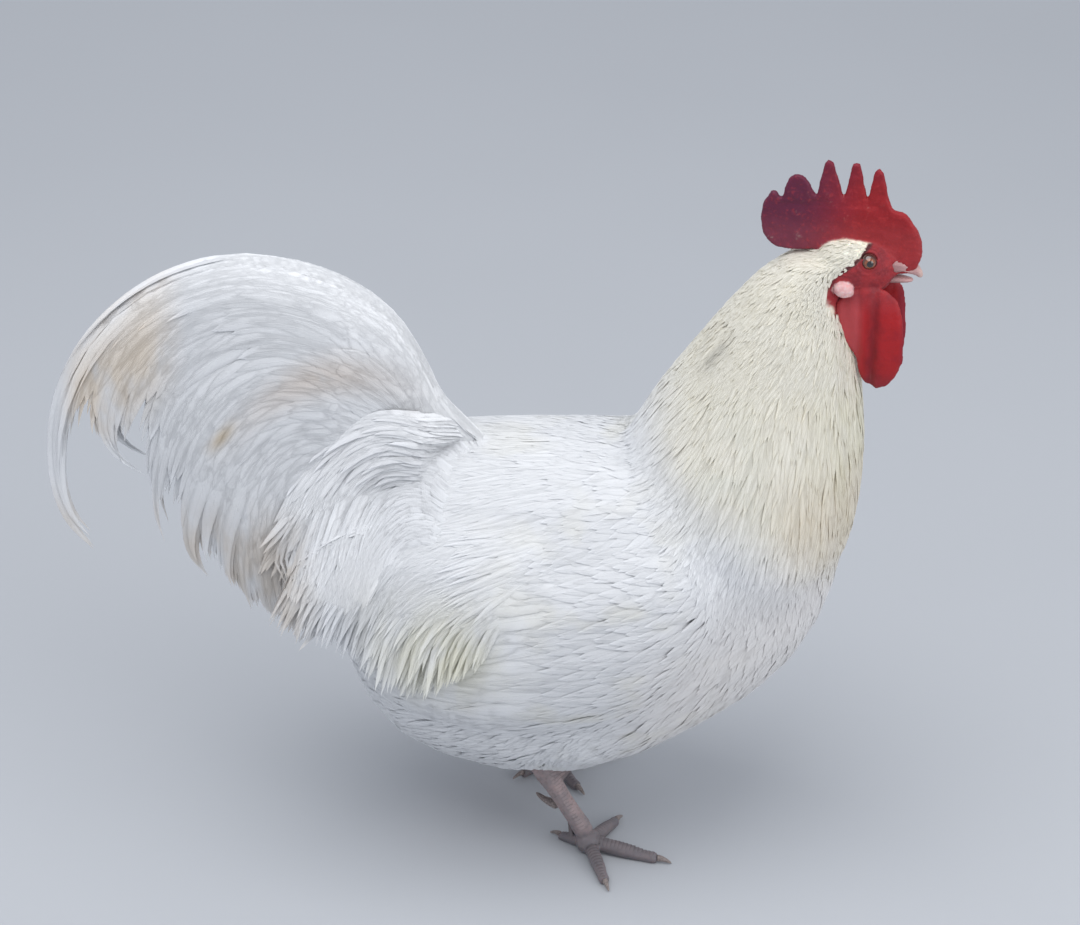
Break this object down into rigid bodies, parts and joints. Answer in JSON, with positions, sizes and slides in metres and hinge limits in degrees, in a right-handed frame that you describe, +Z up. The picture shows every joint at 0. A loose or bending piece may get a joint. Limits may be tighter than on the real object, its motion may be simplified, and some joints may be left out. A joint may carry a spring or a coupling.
{
  "type": "rooster",
  "caption": "Life-size white rooster standing on both feet, with a full neck hackle, a red single comb and wattles, and an arched tail of curved sickle feathers.",
  "frame": {"origin": "on the floor, under the middle of the bird's box", "axes": "+X the way the bird faces, +Y its left side, +Z up"},
  "size_m": [0.6514, 0.2462, 0.566],
  "materials": {
    "plumage_white": "soft matt contour feathers, white, a little stained on the tail",
    "plumage_cream": "long narrow neck hackles, white to pale cream",
    "comb_red": "warty bare skin with a slight sheen, red in front and purple behind",
    "face_red": "wrinkled bare skin, red",
    "lobe_white": "smooth bare skin, pinkish white",
    "horn": "horn, pale, with a slight gloss",
    "leg_scale": "overlapping scales, pinkish brown grey",
    "eye": "wet and glossy, orange brown round a black pupil"
  },
  "bodies": {
    "root": {"beak_lower": "horn", "beak_upper": "horn", "claw_hind_left": "horn", "claw_hind_right": "horn", "claw_inner_left": "horn", "claw_inner_right": "horn", "claw_middle_left": "horn", "claw_middle_right": "horn", "claw_outer_left": "horn", "claw_outer_right": "horn", "comb": "comb_red", "earlobe_left": "lobe_white", "earlobe_right": "lobe_white", "eye_left": "eye", "eye_right": "eye", "foot_left": "leg_scale", "foot_right": "leg_scale", "head": "face_red", "neck": "plumage_cream", "saddle_left": "plumage_white", "saddle_right": "plumage_white", "shank_left": "leg_scale", "shank_right": "leg_scale", "spur_left": "horn", "spur_right": "horn", "tail": "plumage_white", "thigh_left": "plumage_white", "thigh_right": "plumage_white", "trunk": "plumage_white", "wattle_left": "comb_red", "wattle_right": "comb_red", "wing_left": "plumage_white", "wing_right": "plumage_white"}
  },
  "joints": []
}
